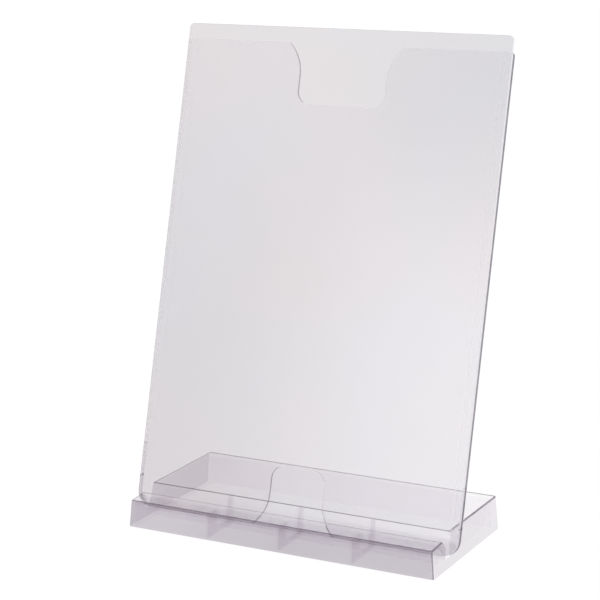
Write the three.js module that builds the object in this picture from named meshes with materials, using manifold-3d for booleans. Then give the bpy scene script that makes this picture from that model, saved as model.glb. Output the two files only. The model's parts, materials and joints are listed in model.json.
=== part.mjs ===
// Slanted display pocket in a slotted base: a clear, leaning A4 portrait pocket that lifts out of its stand.
// Millimetres, +X to the viewer's right, +Y to the back, +Z up.
// The origin is the middle of the base's footprint, on the surface that it stands on.

import * as THREE from "three";
import { mergeVertices } from "three/addons/utils/BufferGeometryUtils.js";
import Module from "manifold-3d";

const wasm = await Module();
wasm.setup();

// ---- driving dimensions ----

const rad = THREE.MathUtils.degToRad;
const lean = rad(14.1);              // how far the pocket leans back from upright
const gap = 0.3;                     // clearance between neighbouring pieces

const base = {
  width: 212,                        // at the back
  frontWidth: 210.8,
  depth: 104,
  wall: 2.2,
  draft: Math.tan(rad(2)),           // how much the front and back walls lean in per mm of height
  endDraft: Math.tan(rad(5)),        // the same for the two ends
  cornerRadius: 1.5,                 // upright corners
  edgeRadius: 0.8,                   // top edges
  ledgeHeight: 17.4,                 // top of the front ledge at its front
  ledgeSlope: Math.tan(rad(3.4)),    // the ledge rises a little towards the slot
  blockHeight: 21.4,                 // top of the block behind the slot
  blockStart: 20,                    // where that block starts, counted from the front, before the slot is cut
};

const slot = {
  floor: 6.4,                        // height of the slot's floor
  frontAt: 22.1,                     // pocket's front face, counted from the base's front, at frontAtHeight
  frontAtHeight: 19,
  mouthHeight: 13.2,                 // where the lead-in starts
  leadInFront: 15.9,                 // front edge of the lead-in, counted from the base's front
  lipRadius: 0.5,                    // rounding of the slot's back edge
  leadInRadius: 1,                   // rounding of its front edge
};

const ribs = {
  stations: [-50, 0, 50],
  thickness: 1.8,
  behindSlot: 6,                     // how far they carry on behind the slot's back wall
};

const pocket = {
  width: 222.6,
  height: 313.5,
  bottomCorner: 10,
};

const sheet = {
  thickness: 2,
  topCorner: 3,
};

const tray = {
  height: 304,
  plate: 1.9,
  rail: 1.2,                         // depth of the space for the insert
  railWidth: 6,
  topCorner: 2.4,
};

// Finger notches in the tray's top and bottom edges.
const notch = {
  topHalfWidth: 30,
  bottomHalfWidth: 18.5,
  depth: 38.5,
  shoulder: 27,                      // radius that opens a notch towards the edge
  straight: 20.5,                    // depth at which the sides of a notch become straight
  corner: 8.5,
};

const trayThickness = tray.plate + tray.rail;
const pocketThickness = sheet.thickness + gap + trayThickness;

// ---- helpers ----

function solidOf(geometry) {
  const plain = geometry.index ? geometry.clone() : geometry;
  plain.deleteAttribute("normal");
  plain.deleteAttribute("uv");
  const merged = mergeVertices(plain, 1e-4);
  return new wasm.Manifold(new wasm.Mesh({
    numProp: 3,
    vertProperties: new Float32Array(merged.attributes.position.array),
    triVerts: new Uint32Array(merged.index.array),
  }));
}

function geometryOf(solid) {
  const mesh = solid.getMesh();
  const geometry = new THREE.BufferGeometry();
  geometry.setAttribute("position", new THREE.BufferAttribute(new Float32Array(mesh.vertProperties), 3));
  geometry.setIndex(new THREE.BufferAttribute(new Uint32Array(mesh.triVerts), 1));
  return geometry;
}

function unionOf(first, ...others) {
  return others.reduce((sum, next) => sum.add(next), first);
}

// A closed solid through rings of points: bottom ring first, each anticlockwise seen from above.
function loft(rings) {
  const count = rings[0].length;
  const index = [];
  for (let ring = 0; ring + 1 < rings.length; ring++) {
    for (let i = 0; i < count; i++) {
      const a = ring * count + i;
      const b = ring * count + (i + 1) % count;
      index.push(a, b, b + count);
      index.push(a, b + count, a + count);
    }
  }
  const top = (rings.length - 1) * count;
  for (let i = 1; i + 1 < count; i++) {
    index.push(0, i + 1, i);
    index.push(top, top + i, top + i + 1);
  }
  const geometry = new THREE.BufferGeometry().setFromPoints(rings.flat());
  geometry.setIndex(index);
  return solidOf(geometry);
}

// The base is a little narrower at the front and at the top.
// This gives its width at a place along Y and a height, as a share of its width at the foot of the back.
function shareOfWidth(y, height) {
  const front = base.frontWidth / base.width;
  const along = front + (1 - front) * (y + base.depth / 2) / base.depth;
  return along - height * base.endDraft / (base.width / 2);
}

// The base's outline at some height, with rounded corners, as a ring of points, anticlockwise.
function roundedRing(halfWidth, front, back, radius, heightAt) {
  const arcSteps = 6;
  const points = [];
  const corners = [
    [halfWidth - radius, back - radius, 0],
    [-halfWidth + radius, back - radius, 1],
    [-halfWidth + radius, front + radius, 2],
    [halfWidth - radius, front + radius, 3],
  ];
  for (const [x, y, quarter] of corners) {
    for (let step = 0; step <= arcSteps; step++) {
      const angle = (quarter + step / arcSteps) * Math.PI / 2;
      const py = y + radius * Math.sin(angle);
      const height = heightAt(py + base.depth / 2);
      const px = (x + radius * Math.cos(angle)) * shareOfWidth(py, height);
      points.push(new THREE.Vector3(px, py, height));
    }
  }
  return points;
}

// A block with drafted walls, rounded upright corners and a rounded top edge.
// The top may slope: its height at a distance from the base's front is topAt(distance).
// front and back are places along Y.
function moulding(front, back, topAt) {
  const roundSteps = 4;
  const levels = [{ below: null, inset: 0 }];
  for (let step = 0; step <= roundSteps; step++) {
    const angle = step / roundSteps * Math.PI / 2;
    levels.push({
      below: base.edgeRadius * (1 - Math.sin(angle)),
      inset: base.edgeRadius * (1 - Math.cos(angle)),
    });
  }
  const rings = levels.map(({ below, inset }) => {
    const lift = (distance) => (below === null ? 0 : topAt(distance) - below);
    const pull = inset + lift(front + base.depth / 2) * base.draft;
    const radius = base.cornerRadius - inset;
    return roundedRing(base.width / 2 - inset, front + pull, back - pull, radius, lift);
  });
  return loft(rings);
}

// An outline in depth and height, drawn out along X.
function alongX(points, low, high) {
  const shape = new THREE.Shape(points);
  const geometry = new THREE.ExtrudeGeometry(shape, { depth: high - low, bevelEnabled: false });
  geometry.rotateY(Math.PI / 2);
  geometry.rotateX(Math.PI / 2);
  geometry.translate(low, 0, 0);
  return solidOf(geometry);
}

// Moves every side of a closed anticlockwise outline outwards by a distance.
function grown(points, distance) {
  return points.map((corner, i) => {
    const before = points[(i + points.length - 1) % points.length];
    const after = points[(i + 1) % points.length];
    const arriving = corner.clone().sub(before).normalize();
    const leaving = after.clone().sub(corner).normalize();
    const firstNormal = new THREE.Vector2(arriving.y, -arriving.x);
    const secondNormal = new THREE.Vector2(leaving.y, -leaving.x);
    const reach = distance / (1 + firstNormal.dot(secondNormal));
    return corner.clone().add(firstNormal.add(secondNormal).multiplyScalar(reach));
  });
}

// Distance from the base's front of a plane that leans with the pocket,
// at a height, when the plane lies a given thickness behind the pocket's front face.
function leaningAt(height, behindFront) {
  return slot.frontAt + (height - slot.frontAtHeight) * Math.tan(lean) + behindFront / Math.cos(lean);
}

// Height above the floor of the pocket's front lower edge: its back lower edge just clears the slot's floor.
const pocketFoot = slot.floor + gap + pocketThickness * Math.sin(lean);

// Places a flat outline (x across, y up the slant) so that it lies between two depths behind the pocket's front.
function leaningSlab(shape, fromDepth, toDepth) {
  const geometry = new THREE.ExtrudeGeometry(shape, {
    depth: toDepth - fromDepth,
    bevelEnabled: false,
    curveSegments: 8,
  });
  geometry.translate(0, 0, -toDepth);
  geometry.rotateX(Math.PI / 2 - lean);
  geometry.translate(0, leaningAt(pocketFoot, 0) - base.depth / 2, pocketFoot);
  return solidOf(geometry);
}

// ---- base ----

function ledgeTop(distance) {
  return base.ledgeHeight + distance * base.ledgeSlope;
}

// The slot's four plain sides seen from the end, from its floor to well above the base:
// front wall, lead-in, then the back wall. Both walls lean with the pocket.
function slotSides() {
  const above = 60;
  const frontFace = -gap;
  const backFace = pocketThickness + gap;
  const leadInTop = ledgeTop(slot.leadInFront);
  const leadInBack = leaningAt(slot.mouthHeight, frontFace);
  const leadInSlope = (slot.leadInFront - leadInBack) / (leadInTop - slot.mouthHeight);
  return [
    new THREE.Vector2(leaningAt(above, backFace), above),
    new THREE.Vector2(slot.leadInFront + (above - leadInTop) * leadInSlope, above),
    new THREE.Vector2(leadInBack, slot.mouthHeight),
    new THREE.Vector2(leaningAt(slot.floor, frontFace), slot.floor),
    new THREE.Vector2(leaningAt(slot.floor, backFace), slot.floor),
  ];
}

// The same, with the slot's front and back edges rounded over.
function slotOutline() {
  const [topBack, topFront, leadInFoot, floorFront, floorBack] = slotSides();
  const frontEdge = new THREE.Vector2(slot.leadInFront, ledgeTop(slot.leadInFront));
  const roundStart = slot.leadInFront - slot.leadInRadius;
  const roundEnd = leadInFoot.clone().sub(frontEdge).setLength(slot.leadInRadius).add(frontEdge);
  const backFace = pocketThickness + gap;
  const edge = new THREE.Vector2(leaningAt(base.blockHeight, backFace), base.blockHeight);
  const lipStart = base.blockHeight - slot.lipRadius;
  const outline = new THREE.Shape();
  outline.moveTo(roundStart, topFront.y);
  outline.lineTo(roundStart, ledgeTop(roundStart));
  outline.quadraticCurveTo(frontEdge.x, frontEdge.y, roundEnd.x, roundEnd.y);
  outline.lineTo(leadInFoot.x, leadInFoot.y);
  outline.lineTo(floorFront.x, floorFront.y);
  outline.lineTo(floorBack.x, floorBack.y);
  outline.lineTo(leaningAt(lipStart, backFace), lipStart);
  outline.quadraticCurveTo(edge.x, edge.y, edge.x + slot.lipRadius, edge.y);
  outline.lineTo(topBack.x + slot.lipRadius, topBack.y);
  return outline.getPoints(4);
}

function centred(points) {
  return points.map((point) => new THREE.Vector2(point.x - base.depth / 2, point.y));
}

// The hollow below the base seen from the end, before the slot's channel is left standing in it.
function hollowOutline() {
  const below = -1;
  const inset = base.wall + base.ledgeHeight * base.draft;
  const step = leaningAt(slot.mouthHeight, pocketThickness / 2);
  return [
    new THREE.Vector2(base.wall, below),
    new THREE.Vector2(base.depth - base.wall, below),
    new THREE.Vector2(base.depth - inset, base.blockHeight - base.wall),
    new THREE.Vector2(step, base.blockHeight - base.wall),
    new THREE.Vector2(step, ledgeTop(step) - base.wall),
    new THREE.Vector2(inset, ledgeTop(inset) - base.wall),
  ];
}

// Thin upright ribs that cross the front bay and the slot's channel, and end a little way behind it.
function ribSet() {
  const back = leaningAt(base.blockHeight, pocketThickness + gap) + base.wall + ribs.behindSlot;
  const outline = centred([
    new THREE.Vector2(0, -2),
    new THREE.Vector2(back, -2),
    new THREE.Vector2(back, base.blockHeight + 2),
    new THREE.Vector2(0, base.blockHeight + 2),
  ]);
  const half = ribs.thickness / 2;
  return unionOf(...ribs.stations.map((x) => alongX(outline, x - half, x + half)));
}

function hollow() {
  const end = base.frontWidth / 2 - base.wall - base.blockHeight * base.endDraft;
  const cavity = alongX(centred(hollowOutline()), -end, end);
  const channel = alongX(centred(grown(slotSides(), base.wall)), -base.width, base.width);
  return cavity.subtract(channel).subtract(ribSet());
}

function makeBase() {
  const half = base.depth / 2;
  const overlap = 8;
  const ledge = moulding(-half, base.blockStart + overlap - half, ledgeTop);
  const block = moulding(base.blockStart - half, half, () => base.blockHeight);
  const cut = alongX(centred(slotOutline()), -base.width, base.width);
  return unionOf(ledge, block).subtract(cut).subtract(hollow());
}

// ---- pocket ----

function makeFrontSheet() {
  const half = pocket.width / 2;
  const low = pocket.bottomCorner;
  const high = sheet.topCorner;
  const outline = new THREE.Shape();
  outline.absarc(half - low, low, low, -Math.PI / 2, 0, false);
  outline.absarc(half - high, pocket.height - high, high, 0, Math.PI / 2, false);
  outline.absarc(-half + high, pocket.height - high, high, Math.PI / 2, Math.PI, false);
  outline.absarc(-half + low, low, low, Math.PI, Math.PI * 1.5, false);
  return leaningSlab(outline, 0, sheet.thickness);
}

// A finger notch from its left rim round to its right rim: places across, and depths below the edge it is cut in.
function notchPoints(halfWidth) {
  const meet = Math.asin(notch.straight / notch.shoulder);
  const shoulderAt = halfWidth + notch.shoulder;
  const cornerAt = halfWidth - notch.corner;
  const cornerDepth = notch.depth - notch.corner;
  const rim = new THREE.Path();
  rim.absarc(-shoulderAt, notch.straight, notch.shoulder, -meet, 0, false);
  rim.absarc(-cornerAt, cornerDepth, notch.corner, Math.PI, Math.PI / 2, true);
  rim.absarc(cornerAt, cornerDepth, notch.corner, Math.PI / 2, 0, true);
  rim.absarc(shoulderAt, notch.straight, notch.shoulder, Math.PI, Math.PI + meet, false);
  return rim.getPoints(5);
}

// The tray's outline, with a finger notch in its bottom edge and one in its top edge.
function trayOutline() {
  const half = pocket.width / 2;
  const low = pocket.bottomCorner;
  const high = tray.topCorner;
  const outline = new THREE.Shape();
  outline.absarc(-half + low, low, low, Math.PI, Math.PI * 1.5, false);
  for (const point of notchPoints(notch.bottomHalfWidth)) {
    outline.lineTo(point.x, point.y);
  }
  outline.absarc(half - low, low, low, -Math.PI / 2, 0, false);
  outline.absarc(half - high, tray.height - high, high, 0, Math.PI / 2, false);
  for (const point of notchPoints(notch.topHalfWidth).reverse()) {
    outline.lineTo(point.x, tray.height - point.y);
  }
  outline.absarc(-half + high, tray.height - high, high, Math.PI / 2, Math.PI, false);
  return outline;
}

// The space for the insert: open at the top, closed at the sides and below by the rails.
function insertOutline() {
  const half = pocket.width / 2 - tray.railWidth;
  const low = pocket.bottomCorner - tray.railWidth;
  const floor = tray.railWidth;
  const above = pocket.height;
  const outline = new THREE.Shape();
  outline.absarc(half - low, floor + low, low, -Math.PI / 2, 0, false);
  outline.lineTo(half, above);
  outline.lineTo(-half, above);
  outline.absarc(-half + low, floor + low, low, Math.PI, Math.PI * 1.5, false);
  return outline;
}

function makeRearTray() {
  const front = sheet.thickness + gap;
  const whole = leaningSlab(trayOutline(), front, front + trayThickness);
  const space = leaningSlab(insertOutline(), front - 1, front + tray.rail);
  return whole.subtract(space);
}

// ---- the object ----

function clearPlastic(colour) {
  return new THREE.MeshStandardMaterial({ color: colour, roughness: 0.1, transparent: true, opacity: 0.4 });
}

function named(name, solid, colour) {
  const mesh = new THREE.Mesh(geometryOf(solid), clearPlastic(colour));
  mesh.name = name;
  return mesh;
}

const object = new THREE.Group();
object.name = "leaning_display_pocket";
object.add(named("base", makeBase(), 0xd9d5dd));
object.add(named("front_sheet", makeFrontSheet(), 0xe6e4ea));
object.add(named("rear_tray", makeRearTray(), 0xdddbe4));

export default object;
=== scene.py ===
"""A clear page pocket that leans back in a slotted clear base, in a white studio.

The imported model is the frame. Each clear piece is shown by a finer mesh made from its CAD node:
the same shape, with its sharp edges rounded over and its faces sorted by the skin they take.
Metres, +X to the viewer's right, +Y to the back, +Z up.
"""

import json
import math

import bmesh
import bpy
from mathutils import Matrix, Vector


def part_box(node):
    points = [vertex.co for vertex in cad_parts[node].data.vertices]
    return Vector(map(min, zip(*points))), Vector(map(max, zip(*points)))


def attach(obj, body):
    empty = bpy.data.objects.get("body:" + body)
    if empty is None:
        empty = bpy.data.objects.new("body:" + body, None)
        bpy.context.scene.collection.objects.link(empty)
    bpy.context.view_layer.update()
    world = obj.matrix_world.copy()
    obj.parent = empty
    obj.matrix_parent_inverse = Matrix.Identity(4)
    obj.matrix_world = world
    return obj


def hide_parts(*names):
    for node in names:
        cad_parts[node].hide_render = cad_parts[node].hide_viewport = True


# ---- camera ----

CAMERA_AZIMUTH = math.radians(27.06)     # round to the right of straight ahead
CAMERA_ELEVATION = math.radians(12.55)
CAMERA_DISTANCE = 1.1194
CAMERA_LENS = 113.67                     # for a 36 mm sensor
AIM_RIGHT = 0.0171                       # where the camera looks, from the middle of the base's front edge
AIM_HEIGHT = 0.1601

# ---- how edges are rounded ----

CREASE = math.radians(30)                # edges sharper than this are rounded over
FLAT = math.radians(0.4)                 # faces that bend less than this are joined into one
BASE_ROUNDING = 0.00045
POCKET_ROUNDING = 0.00012

# ---- where the skins lie ----

NARROW = 0.0008                          # a base face thinner than this is the rounding of an edge
TOP_EDGES_FROM = 0.014                   # height above which such roundings are moulded top edges
OUTER_WALL = 0.0025                      # depth of the skin that holds the front and end walls' outer faces
SLOT_FROM, SLOT_TO = 0.013, 0.032        # where the slot's ends lie, from the base's front
RIB_PLACES = (-0.05, 0.0, 0.05)          # across the base
RIB_REACH = 0.0016                       # a face this close to a rib's middle belongs to the rib
RAILS_FROM = 0.09                        # the tray's rails lie farther out than this
FACING = 0.9                             # share of a face's normal that makes it face along an axis

# ---- skins, as indices into the pieces' material lists ----

PLAIN, FRONT_WALL, ROUNDED_EDGE, END_WALL, CEILING, RIB = range(6)
PANE, RIM, NOTCH_SIDE, OUTER_SIDE = range(4)

# ---- plastics: each colour drifts between two tints; the darker tints of the base's walls, ribs and edges and of the tray's right-facing rims are painted shade ----

GLOSS_IOR = 1.49                         # of the coat, which gives the real plastic's gloss
BASE_IOR = 1.005                         # below the coat, so that the hollow base stays quiet inside
POCKET_IOR = 1.15                        # also below a coat: the pocket's own rims stay pale
BASE_TINTS = (0.97, 0.955, 0.975), (0.95, 0.935, 0.955)
# painted shade: the front wall is tinted dark for the shadowed floor seen through it
FRONT_WALL_SHADE_TINTS = (0.40, 0.36, 0.41), (0.325, 0.29, 0.335)
# painted shade: the end walls are tinted darker for the shadowed floor seen through them
END_WALL_SHADE_TINTS = (0.68, 0.64, 0.69), (0.60, 0.565, 0.61)
# painted shade: the ribs are tinted a little darker, as a faint shadow
RIB_SHADE_TINTS = (0.90, 0.875, 0.91), (0.85, 0.825, 0.86)
# painted shade: the dark lines along the base's rounded edges, slot ends and rib feet
BASE_EDGE_SHADE_TINTS = (0.25, 0.21, 0.26), (0.35, 0.31, 0.37)
# the sheet's grey is its own colour; its drift from pinkish to bluish lilac is painted reflection
SHEET_TINTS_AND_REFLECTION = (0.785, 0.75, 0.765), (0.77, 0.765, 0.795)
SHEET_RIM_TINTS = (0.95, 0.94, 0.97), (0.92, 0.91, 0.94)
TRAY_TINTS = (1.0, 0.995, 1.0), (0.985, 0.98, 0.99)
TRAY_RIM_TINTS = (0.95, 0.94, 0.97), (0.86, 0.85, 0.88)
# painted shade: the tray's rims that look to the right are tinted dark, the outer side darkest
NOTCH_SIDE_SHADE_TINTS = (0.25, 0.23, 0.27), (0.38, 0.36, 0.40)
OUTER_SIDE_SHADE_TINTS = (0.05, 0.04, 0.06), (0.11, 0.10, 0.12)

# ---- studio ----

FLOOR_SIZE = 24.0
FLOOR_GLOW = 0.98
ROOM_GLOW = 0.97                         # strength of the room's walls in reflections
ROOM_PATCHES = (                         # where each lies, the degrees at which it fades out, and its change
    ((0.80, -0.60, 0.15), 62, -0.87),    # the room's dim side
    ((-0.27, -0.95, 0.15), 14, 1.1),     # a soft bright panel in front
    ((-0.30, -0.88, 0.36), 9, -0.45),    # a dim strip above it
    ((-0.62, -0.78, 0.08), 18, -0.6),    # and a dim one to its left
)


def out_of_pocket():
    """The way that the leaning pocket's front face looks."""
    up = Vector(frame["joints"][0]["axis"]).normalized()
    return Vector((0, -up.z, up.y))


# ---- node helpers ----

def new_material(name):
    material = bpy.data.materials.new(name)
    material.use_nodes = True
    material.node_tree.nodes.clear()
    return material


def add_node(material, kind, **inputs):
    node = material.node_tree.nodes.new(kind)
    for key, value in inputs.items():
        node.inputs[key.replace("_", " ")].default_value = value
    return node


def link(material, source, target):
    material.node_tree.links.new(source, target)


def noise(material, scale, detail, roughness=0.5):
    """Noise in the object's own metres, so that it stays on the part in any view."""
    coordinates = add_node(material, "ShaderNodeTexCoord")
    texture = add_node(material, "ShaderNodeTexNoise", Scale=scale, Detail=detail, Roughness=roughness)
    link(material, coordinates.outputs["Object"], texture.inputs["Vector"])
    return texture.outputs["Fac"]


def between(material, factor, low, high):
    """A value that runs from low to high as factor runs over the middle of a noise."""
    spread = add_node(material, "ShaderNodeMapRange")
    spread.inputs["From Min"].default_value = 0.3
    spread.inputs["From Max"].default_value = 0.7
    spread.inputs["To Min"].default_value = low
    spread.inputs["To Max"].default_value = high
    link(material, factor, spread.inputs["Value"])
    return spread.outputs["Result"]


def mixed_colour(material, factor, first, second):
    mix = add_node(material, "ShaderNodeMix")
    mix.data_type = "RGBA"
    mix.inputs[6].default_value = (*first, 1)
    mix.inputs[7].default_value = (*second, 1)
    link(material, factor, mix.inputs[0])
    return mix.outputs[2]


# ---- materials ----

def clear_plastic(name, tints_and_painted_light, ior, wave=0.02, rough=(0.0, 0.03), coat=1.0):
    """Clear moulded plastic: a colour that drifts, a slightly wavy skin and fine handling haze. On the
    base's walls and ribs that colour is painted shade, and on the sheet its drift is partly painted
    reflection.
    """
    material = new_material(name)
    shader = add_node(material, "ShaderNodeBsdfPrincipled")
    shader.inputs["IOR"].default_value = ior
    shader.inputs["Transmission Weight"].default_value = 1.0
    shader.inputs["Coat Weight"].default_value = coat
    shader.inputs["Coat IOR"].default_value = GLOSS_IOR
    drift = noise(material, 9.0, detail=1.5)
    drifting_colour = mixed_colour(material, between(material, drift, 0.0, 1.0), *tints_and_painted_light)
    link(material, drifting_colour, shader.inputs["Base Color"])
    haze = noise(material, 55.0, detail=6.0, roughness=0.65)
    link(material, between(material, haze, *rough), shader.inputs["Roughness"])
    bump = add_node(material, "ShaderNodeBump", Strength=wave, Distance=0.001)
    link(material, noise(material, 28.0, detail=2.0), bump.inputs["Height"])
    link(material, bump.outputs["Normal"], shader.inputs["Normal"])
    output = add_node(material, "ShaderNodeOutputMaterial")
    link(material, shader.outputs["BSDF"], output.inputs["Surface"])
    return material


def cut_edge(name, tints_and_painted_light, ior, clear, rough):
    """A narrow rim or edge, where light gathers or is lost: its tints paint that light or shade, and fine
    marks vary its tone.
    """
    material = new_material(name)
    shader = add_node(material, "ShaderNodeBsdfPrincipled")
    shader.inputs["IOR"].default_value = ior
    shader.inputs["Transmission Weight"].default_value = clear
    marks = noise(material, 160.0, detail=4.0)
    drifting_colour = mixed_colour(material, between(material, marks, 0.0, 1.0), *tints_and_painted_light)
    link(material, drifting_colour, shader.inputs["Base Color"])
    link(material, between(material, marks, *rough), shader.inputs["Roughness"])
    output = add_node(material, "ShaderNodeOutputMaterial")
    link(material, shader.outputs["BSDF"], output.inputs["Surface"])
    return material


# ---- pieces ----

def finer(name, node, rounding):
    """A new mesh in the shape of a CAD node, with its flat faces whole and its sharp edges rounded over."""
    form = bmesh.new()
    form.from_mesh(frame["nodes"][node].data)
    bmesh.ops.remove_doubles(form, verts=form.verts, dist=1e-6)
    bmesh.ops.dissolve_limit(form, angle_limit=FLAT, verts=form.verts, edges=form.edges)
    sharp = [edge for edge in form.edges if edge.is_manifold and edge.calc_face_angle() > CREASE]
    bmesh.ops.bevel(form, geom=sharp, offset=rounding, segments=3, profile=0.5,
                    affect="EDGES", clamp_overlap=True)
    mesh = bpy.data.meshes.new(name)
    form.to_mesh(mesh)
    form.free()
    mesh.materials.clear()
    piece = bpy.data.objects.new(name, mesh)
    bpy.context.scene.collection.objects.link(piece)
    mesh.shade_smooth()
    weights = piece.modifiers.new("weighted_normals", "WEIGHTED_NORMAL")
    weights.weight = 80
    weights.keep_sharp = True
    return piece


def pocket_skin(face, outwards):
    """Faces that look out of the pocket's front or back are panes, and the others are rims.

    The rims that look to the right, past the left rail, are the sides of the notches and the outer side;
    these are tinted dark as painted shade.
    """
    if abs(face.normal.dot(outwards)) > 0.85:
        return PANE
    if face.normal.x < 0.5 or face.center.x < -RAILS_FROM:
        return RIM
    return OUTER_SIDE if face.center.x > RAILS_FROM else NOTCH_SIDE


def width_of(piece, face):
    """About how wide a face is across its longest side."""
    corners = [piece.data.vertices[index].co for index in face.vertices]
    befores = corners[-1:] + corners[:-1]
    return face.area / max((corner - before).length for corner, before in zip(corners, befores))


def near_rib(centre):
    return min(abs(centre.x - place) for place in RIB_PLACES) < RIB_REACH


def narrow_skin(normal, centre, low, at_front, at_end):
    """The skin of the narrow faces that round the base's edges over. The front wall's and rounded edges'
    skins are tinted dark as painted shade.
    """
    if at_front and abs(normal.z) < 0.5 and normal.y < -0.2:
        middle_of_corner = abs(normal.x) > 0.6 and normal.y < -0.6
        return ROUNDED_EDGE if middle_of_corner else FRONT_WALL
    top_edge = centre.z > TOP_EDGES_FROM and 0.15 < normal.z < 0.985
    by_slot = low.y + SLOT_FROM < centre.y < low.y + SLOT_TO
    slot_end = at_end and by_slot and abs(normal.x) > 0.2
    rib_foot = near_rib(centre) and normal.x > 0.2 and centre.y < low.y + SLOT_TO / 2
    return ROUNDED_EDGE if top_edge or slot_end or rib_foot else PLAIN


def base_skin(piece, face, low, high):
    """Which of the base's skins a face takes, by where it lies and which way it looks."""
    normal, centre = face.normal, face.center
    at_front = centre.y < low.y + OUTER_WALL
    at_end = abs(centre.x) > high.x - OUTER_WALL
    if width_of(piece, face) < NARROW:
        return narrow_skin(normal, centre, low, at_front, at_end)
    if normal.z < -0.5:
        return CEILING
    if at_front and normal.y < -FACING:
        return FRONT_WALL
    if near_rib(centre) and abs(normal.x) > FACING:
        return RIB
    return END_WALL if at_end and abs(normal.x) > FACING else PLAIN


def add_materials(piece, *materials):
    """Fills the piece's material list, in the order of its skins."""
    for material in materials:
        piece.data.materials.append(material)


def make_base():
    piece = finer("base_moulding", "base", BASE_ROUNDING)
    add_materials(
        piece,
        clear_plastic("base_plastic", BASE_TINTS, BASE_IOR, wave=0.05),
        # the front wall's dark tints are painted shade
        clear_plastic("base_wall_painted_shade", FRONT_WALL_SHADE_TINTS, BASE_IOR, wave=0.0, rough=(0.2, 0.24)),
        # the rounded edges' dark tints are painted shade
        cut_edge("base_edge_painted_shade", BASE_EDGE_SHADE_TINTS, BASE_IOR, clear=0.45, rough=(0.3, 0.5)),
        # the end walls' darker tints are painted shade
        clear_plastic("base_end_painted_shade", END_WALL_SHADE_TINTS, BASE_IOR, wave=0.05, rough=(0.2, 0.28)),
        clear_plastic("base_inner_plastic", BASE_TINTS, BASE_IOR, coat=0.0),
        # the ribs' darker tints are painted shade
        clear_plastic("base_rib_painted_shade", RIB_SHADE_TINTS, BASE_IOR, coat=0.0),
    )
    low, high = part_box("base")
    for face in piece.data.polygons:
        face.material_index = base_skin(piece, face, low, high)
    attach(piece, "base")
    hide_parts("base")


def make_front_sheet():
    piece = finer("front_pane", "front_sheet", POCKET_ROUNDING)
    add_materials(
        piece,
        # the sheet's drifting pinkish and lilac hues are partly painted reflection
        clear_plastic("sheet_plastic", SHEET_TINTS_AND_REFLECTION, POCKET_IOR),
        cut_edge("sheet_edge", SHEET_RIM_TINTS, POCKET_IOR, clear=1.0, rough=(0.0, 0.02)),
    )
    outwards = out_of_pocket()
    for face in piece.data.polygons:
        face.material_index = min(RIM, pocket_skin(face, outwards))     # all its rims are alike
    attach(piece, "pocket")
    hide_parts("front_sheet")


def make_rear_tray():
    piece = finer("rear_pane", "rear_tray", POCKET_ROUNDING)
    add_materials(
        piece,
        clear_plastic("tray_plastic", TRAY_TINTS, POCKET_IOR),
        cut_edge("tray_edge", TRAY_RIM_TINTS, POCKET_IOR, clear=1.0, rough=(0.0, 0.03)),
        # the right-facing rims' dark tints are painted shade
        cut_edge("tray_notch_side_painted_shade", NOTCH_SIDE_SHADE_TINTS, POCKET_IOR, clear=1.0, rough=(0.0, 0.03)),
        cut_edge("tray_outer_side_painted_shade", OUTER_SIDE_SHADE_TINTS, POCKET_IOR, clear=1.0, rough=(0.02, 0.06)),
    )
    outwards = out_of_pocket()
    for face in piece.data.polygons:
        face.material_index = pocket_skin(face, outwards)
    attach(piece, "pocket")
    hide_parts("rear_tray")


# ---- studio ----

def make_floor():
    form = bmesh.new()
    bmesh.ops.create_grid(form, x_segments=2, y_segments=2, size=FLOOR_SIZE / 2)
    mesh = bpy.data.meshes.new("floor")
    form.to_mesh(mesh)
    form.free()
    material = new_material("floor_white")
    shader = add_node(material, "ShaderNodeBsdfPrincipled", Roughness=0.9)
    shader.inputs["Base Color"].default_value = (0.05, 0.05, 0.05, 1)
    shader.inputs["Specular IOR Level"].default_value = 0.0
    shader.inputs["Emission Color"].default_value = (1, 1, 1, 1)
    shader.inputs["Emission Strength"].default_value = FLOOR_GLOW
    output = add_node(material, "ShaderNodeOutputMaterial")
    link(material, shader.outputs["BSDF"], output.inputs["Surface"])
    mesh.materials.append(material)
    floor = bpy.data.objects.new("floor", mesh)
    floor.location.z = -0.0005
    bpy.context.scene.collection.objects.link(floor)


def make_world():
    """A pale room with soft patches that show in reflections. Seen straight, it is even all over."""
    world = bpy.data.worlds.new("studio")
    world.use_nodes = True
    nodes, links = world.node_tree.nodes, world.node_tree.links
    nodes.clear()
    direction = nodes.new("ShaderNodeTexCoord")
    glow = None
    for place, reach, change in ROOM_PATCHES:
        towards = nodes.new("ShaderNodeVectorMath")
        towards.operation = "DOT_PRODUCT"
        towards.inputs[1].default_value = Vector(place).normalized()
        links.new(direction.outputs["Generated"], towards.inputs[0])
        shade = nodes.new("ShaderNodeMapRange")
        shade.interpolation_type = "SMOOTHSTEP"
        shade.inputs["From Min"].default_value = math.cos(math.radians(reach))
        shade.inputs["From Max"].default_value = 1.0
        shade.inputs["To Max"].default_value = change
        links.new(towards.outputs["Value"], shade.inputs["Value"])
        total = nodes.new("ShaderNodeMath")
        total.inputs[0].default_value = ROOM_GLOW
        if glow:
            links.new(glow, total.inputs[0])
        links.new(shade.outputs["Result"], total.inputs[1])
        glow = total.outputs[0]
    path = nodes.new("ShaderNodeLightPath")
    seen = nodes.new("ShaderNodeMix")
    links.new(path.outputs["Is Camera Ray"], seen.inputs[0])
    links.new(glow, seen.inputs[2])
    seen.inputs[3].default_value = 1.0
    background = nodes.new("ShaderNodeBackground")
    links.new(seen.outputs[0], background.inputs["Strength"])
    output = nodes.new("ShaderNodeOutputWorld")
    links.new(background.outputs[0], output.inputs["Surface"])
    bpy.context.scene.world = world


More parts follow.
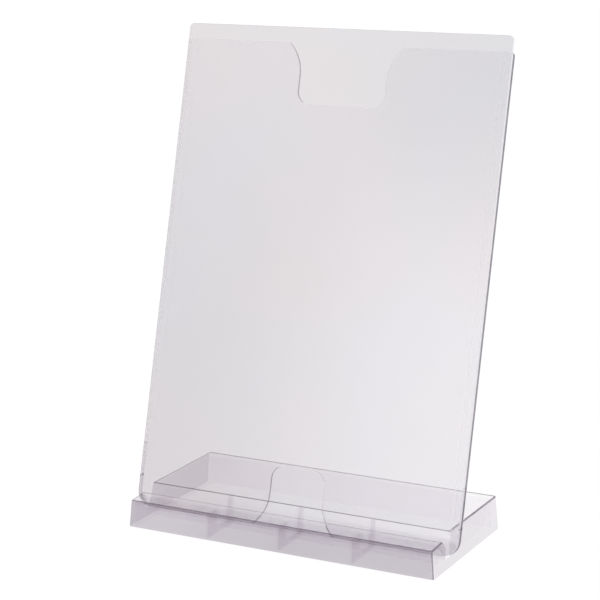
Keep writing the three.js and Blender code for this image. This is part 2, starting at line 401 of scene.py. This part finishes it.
def make_lamp(name, place, aim, size, power):
    data = bpy.data.lights.new(name, "AREA")
    data.shape = "RECTANGLE"
    data.size, data.size_y = size
    data.energy = power
    lamp = bpy.data.objects.new(name, data)
    lamp.location = place
    lamp.rotation_mode = "QUATERNION"
    lamp.rotation_quaternion = (Vector(aim) - Vector(place)).to_track_quat("-Z", "Y")
    bpy.context.scene.collection.objects.link(lamp)


def make_camera():
    base_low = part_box("base")[0]
    aim = Vector((AIM_RIGHT, base_low.y, AIM_HEIGHT))
    forward = Vector((
        -math.sin(CAMERA_AZIMUTH) * math.cos(CAMERA_ELEVATION),
        math.cos(CAMERA_AZIMUTH) * math.cos(CAMERA_ELEVATION),
        -math.sin(CAMERA_ELEVATION),
    ))
    right = forward.cross(Vector((0, 0, 1))).normalized()
    up = right.cross(forward)
    data = bpy.data.cameras.new("camera")
    data.sensor_width = 36
    data.lens = CAMERA_LENS
    data.clip_end = 60
    camera = bpy.data.objects.new("camera", data)
    camera.matrix_world = Matrix.Translation(aim - forward * CAMERA_DISTANCE) @ Matrix((
        (right.x, up.x, -forward.x, 0),
        (right.y, up.y, -forward.y, 0),
        (right.z, up.z, -forward.z, 0),
        (0, 0, 0, 1),
    ))
    bpy.context.scene.collection.objects.link(camera)
    bpy.context.scene.camera = camera


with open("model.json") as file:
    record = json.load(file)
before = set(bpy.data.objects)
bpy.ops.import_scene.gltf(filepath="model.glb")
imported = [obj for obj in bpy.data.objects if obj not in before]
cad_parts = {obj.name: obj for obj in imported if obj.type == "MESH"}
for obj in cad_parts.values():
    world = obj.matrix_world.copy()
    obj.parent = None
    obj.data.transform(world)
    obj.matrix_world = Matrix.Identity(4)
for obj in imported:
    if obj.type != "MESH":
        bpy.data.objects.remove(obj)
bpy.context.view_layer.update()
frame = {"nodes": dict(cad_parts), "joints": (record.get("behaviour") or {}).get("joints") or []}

make_camera()
make_base()
make_front_sheet()
make_rear_tray()
make_floor()
make_world()
make_lamp("key", (-1.2, 0.4, 2.2), (0, 0, 0.1), (2.4, 2.4), 4)
bpy.context.scene.view_settings.view_transform = "Standard"
